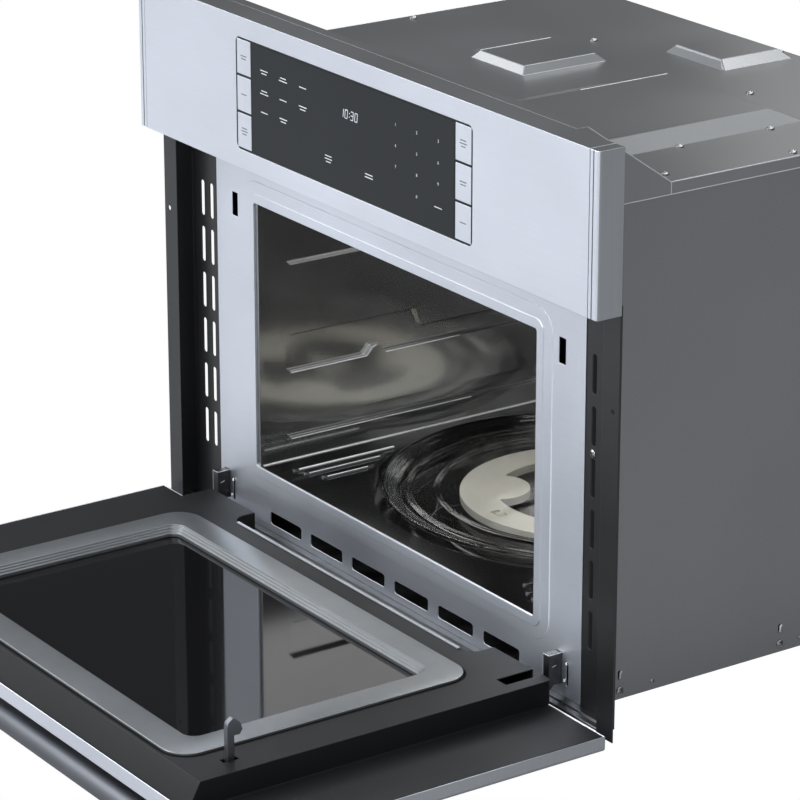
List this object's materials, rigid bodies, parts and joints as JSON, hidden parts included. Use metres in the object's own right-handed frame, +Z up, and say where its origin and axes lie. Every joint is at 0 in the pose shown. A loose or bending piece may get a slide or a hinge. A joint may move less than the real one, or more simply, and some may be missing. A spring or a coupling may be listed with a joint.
{
  "type": "combination microwave oven",
  "caption": "Built-in combination microwave oven with a drop-down door, glass turntable, stainless fascia with a dark touch panel, slotted side rails and a grey casing.",
  "frame": {"origin": "centre of the underside of the casing base", "axes": "+X to the right seen from the front, +Y to the back, +Z up; the door is let down at rest"},
  "size_m": [0.756, 0.9416, 0.6104],
  "materials": {
    "stainless": "brushed",
    "bright_steel": "polished",
    "casing_grey": "satin",
    "black_steel": "satin",
    "cavity_enamel": "semi-gloss",
    "choke_grey": "brushed",
    "dark_glass": "gloss",
    "panel_glass": "satin",
    "clear_glass": "gloss",
    "black_plastic": "satin",
    "pale_plastic": "matte",
    "board_green": "matte",
    "zinc": "satin",
    "mica": "matte",
    "core_iron": "matte"
  },
  "bodies": {
    "oven": {"blower_housing": "black_plastic", "blower_motor": "zinc", "casing_base": "zinc", "casing_rear": "casing_grey", "casing_side_left": "casing_grey", "casing_side_right": "casing_grey", "casing_top": "casing_grey", "cavity_ceiling": "cavity_enamel", "cavity_floor": "cavity_enamel", "cavity_lamp": "zinc", "cavity_rear": "cavity_enamel", "cavity_wall_left": "cavity_enamel", "cavity_wall_right": "cavity_enamel", "control_board": "board_green", "control_cover": "casing_grey", "control_glass": "panel_glass", "convection_heater": "core_iron", "convection_housing": "zinc", "convection_motor": "zinc", "fascia_end_left": "stainless", "fascia_end_right": "stainless", "fascia_shell": "stainless", "front_plate": "stainless", "hinge_arm_left": "zinc", "hinge_arm_right": "zinc", "key_bezel": "black_plastic", "lower_trim": "bright_steel", "magnetron": "zinc", "power_transformer": "core_iron", "rail_left": "black_steel", "rail_right": "black_steel", "turntable_motor": "zinc", "waveguide": "zinc", "waveguide_cover": "mica"},
    "door": {"door_panel": "stainless", "door_outer_glass": "dark_glass", "door_liner": "black_plastic", "choke_ring": "choke_grey", "door_inner_glass": "dark_glass", "door_lip": "bright_steel", "handle_bar": "stainless", "handle_posts": "stainless", "hinge_channel_left": "black_steel", "hinge_channel_right": "black_steel"},
    "latch_left": {"latch_hook_left": "choke_grey"},
    "latch_right": {"latch_hook_right": "choke_grey"},
    "turntable": {"turntable_tray": "clear_glass", "turntable_coupler": "pale_plastic"},
    "roller_carrier": {"roller_ring": "pale_plastic"},
    "roller_a": {"roller_1": "pale_plastic"},
    "roller_b": {"roller_2": "pale_plastic"},
    "roller_c": {"roller_3": "pale_plastic"},
    "cooling_wheel": {"blower_wheel": "pale_plastic"},
    "oven_fan": {"convection_fan": "zinc"},
    "button_left_1": {"key_left_1": "stainless"},
    "button_left_2": {"key_left_2": "stainless"},
    "button_left_3": {"key_left_3": "stainless"},
    "button_right_1": {"key_right_1": "stainless"},
    "button_right_2": {"key_right_2": "stainless"},
    "button_right_3": {"key_right_3": "stainless"}
  },
  "joints": [
    {"name": "door_hinge", "type": "hinge", "parent": "oven", "child": "door", "pos_m": [0, -0.2587, 0.01025], "axis": [-1, 0, 0], "range_deg": [0, 90]},
    {"name": "latch_left_pivot", "type": "hinge", "parent": "door", "child": "latch_left", "pos_m": [-0.272, -0.58625, 0.019], "axis": [1, 0, 0], "range_deg": [0, 8], "stiffness_Nm_per_rad": 0.4},
    {"name": "latch_right_pivot", "type": "hinge", "parent": "door", "child": "latch_right", "pos_m": [0.272, -0.58625, 0.019], "axis": [1, 0, 0], "range_deg": [0, 8], "stiffness_Nm_per_rad": 0.4},
    {"name": "turntable_spin", "type": "hinge", "parent": "oven", "child": "turntable", "pos_m": [0, 0.00605, 0.061], "axis": [0, 0, 1], "continuous": true},
    {"name": "roller_carrier_spin", "type": "hinge", "parent": "oven", "child": "roller_carrier", "pos_m": [0, 0.00605, 0.054], "axis": [0, 0, 1], "continuous": true},
    {"name": "roller_a_spin", "type": "hinge", "parent": "roller_carrier", "child": "roller_a", "pos_m": [0.09353, 0.06005, 0.054], "axis": [0.866, 0.5, 0], "continuous": true},
    {"name": "roller_b_spin", "type": "hinge", "parent": "roller_carrier", "child": "roller_b", "pos_m": [-0.09353, 0.06005, 0.054], "axis": [-0.866, 0.5, 0], "continuous": true},
    {"name": "roller_c_spin", "type": "hinge", "parent": "roller_carrier", "child": "roller_c", "pos_m": [0, -0.10195, 0.054], "axis": [0, -1, 0], "continuous": true},
    {"name": "cooling_wheel_spin", "type": "hinge", "parent": "oven", "child": "cooling_wheel", "pos_m": [0.06, 0.16105, 0.4093], "axis": [1, 0, 0], "continuous": true},
    {"name": "oven_fan_spin", "type": "hinge", "parent": "oven", "child": "oven_fan", "pos_m": [0, 0.235, 0.20675], "axis": [0, 1, 0], "continuous": true},
    {"name": "button_left_1_press", "type": "slide", "parent": "oven", "child": "button_left_1", "axis": [0, 1, 0], "range_m": [0, 0.0005], "stiffness_N_per_m": 1500},
    {"name": "button_left_2_press", "type": "slide", "parent": "oven", "child": "button_left_2", "axis": [0, 1, 0], "range_m": [0, 0.0005], "stiffness_N_per_m": 1500},
    {"name": "button_left_3_press", "type": "slide", "parent": "oven", "child": "button_left_3", "axis": [0, 1, 0], "range_m": [0, 0.0005], "stiffness_N_per_m": 1500},
    {"name": "button_right_1_press", "type": "slide", "parent": "oven", "child": "button_right_1", "axis": [0, 1, 0], "range_m": [0, 0.0005], "stiffness_N_per_m": 1500},
    {"name": "button_right_2_press", "type": "slide", "parent": "oven", "child": "button_right_2", "axis": [0, 1, 0], "range_m": [0, 0.0005], "stiffness_N_per_m": 1500},
    {"name": "button_right_3_press", "type": "slide", "parent": "oven", "child": "button_right_3", "axis": [0, 1, 0], "range_m": [0, 0.0005], "stiffness_N_per_m": 1500}
  ],
  "couplings": [
    {"joint": "roller_carrier_spin", "follows": "turntable_spin", "ratio": 0.5},
    {"joint": "roller_a_spin", "follows": "turntable_spin", "ratio": -8.0597},
    {"joint": "roller_b_spin", "follows": "turntable_spin", "ratio": -8.0597},
    {"joint": "roller_c_spin", "follows": "turntable_spin", "ratio": -8.0597}
  ]
}
